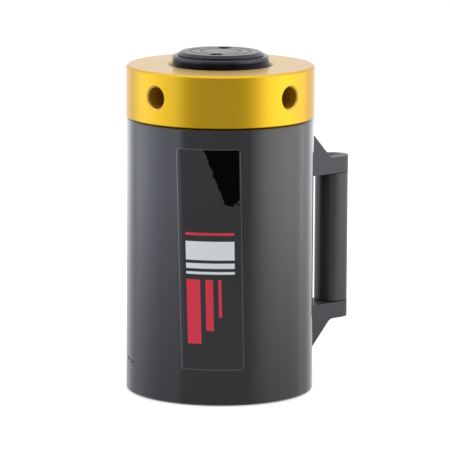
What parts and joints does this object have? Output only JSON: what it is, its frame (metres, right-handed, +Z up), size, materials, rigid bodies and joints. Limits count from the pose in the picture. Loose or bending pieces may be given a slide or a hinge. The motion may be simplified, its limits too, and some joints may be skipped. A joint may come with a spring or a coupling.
{
  "type": "hydraulic cylinder",
  "caption": "Single acting spring-return hydraulic cylinder with a threaded plunger, gold lock nut, grooved saddle, carrying handle and oil coupler.",
  "frame": {"origin": "centre of the base plate's underside, on the plunger's axis", "axes": "+Z up along the plunger, +X from the axis to the carrying handle"},
  "size_m": [0.184, 0.1449, 0.2375],
  "materials": {
    "body_coat": "dark hard-anodised aluminium with fine turning lines, satin",
    "nut_gold": "gold-anodised turned aluminium, satin",
    "plunger_coat": "black hard-coated turned aluminium, satin",
    "saddle_steel": "dark hardened steel, turned face",
    "handle_coat": "black anodised aluminium, satin",
    "plate_steel": "turned steel",
    "screw_steel": "blackened steel screws",
    "bronze": "turned bronze bush",
    "seal_rubber": "black seal rubber",
    "wiper_rubber": "dark wiper rubber",
    "guide_plastic": "pale guide plastic",
    "spring_steel": "spring steel wire",
    "coupler_steel": "machined steel"
  },
  "bodies": {
    "barrel": {"cylinder_body": "body_coat", "base_plate": "plate_steel", "base_plate_screws": "screw_steel", "gland_ring": "plate_steel", "gland_bushing": "bronze", "wiper_seal": "wiper_rubber", "spring_anchor_lower": "plate_steel", "return_spring": "spring_steel", "handle_bracket_lower": "handle_coat", "handle_bracket_upper": "handle_coat", "handle_grip": "handle_coat", "handle_grip_screw_lower": "screw_steel", "handle_grip_screw_upper": "screw_steel", "handle_mount_screw_lower": "screw_steel", "handle_mount_screw_upper": "screw_steel", "coupler_body": "coupler_steel", "coupler_seal": "seal_rubber", "coupler_spring": "spring_steel"},
    "plunger": {"plunger": "plunger_coat", "piston_seal": "seal_rubber", "piston_backup_ring": "guide_plastic", "piston_guide_band": "guide_plastic", "spring_anchor_upper": "plate_steel", "saddle": "saddle_steel", "saddle_ring": "seal_rubber"},
    "lock_nut": {"lock_nut": "nut_gold"},
    "coupler_valve": {"coupler_valve": "coupler_steel"}
  },
  "joints": [
    {"name": "lock_nut_turn", "type": "hinge", "parent": "barrel", "child": "lock_nut", "pos_m": [0, 0, 0.21], "axis": [0, 0, -1], "range_deg": [0, 4500]},
    {"name": "plunger_slide", "type": "slide", "parent": "barrel", "child": "plunger", "axis": [0, 0, 1], "range_m": [0, 0.075], "stiffness_N_per_m": 4300, "springref_m": -0.03, "deforming": ["return_spring"]},
    {"name": "coupler_valve_slide", "type": "slide", "parent": "barrel", "child": "coupler_valve", "axis": [-0.7071, -0.7071, 0], "range_m": [0, 0.004], "stiffness_N_per_m": 1000, "springref_m": -0.004, "deforming": ["coupler_spring"]}
  ],
  "couplings": [
    {"joint": "plunger_slide", "follows": "lock_nut_turn", "m_per_rad": 0.00095493}
  ]
}
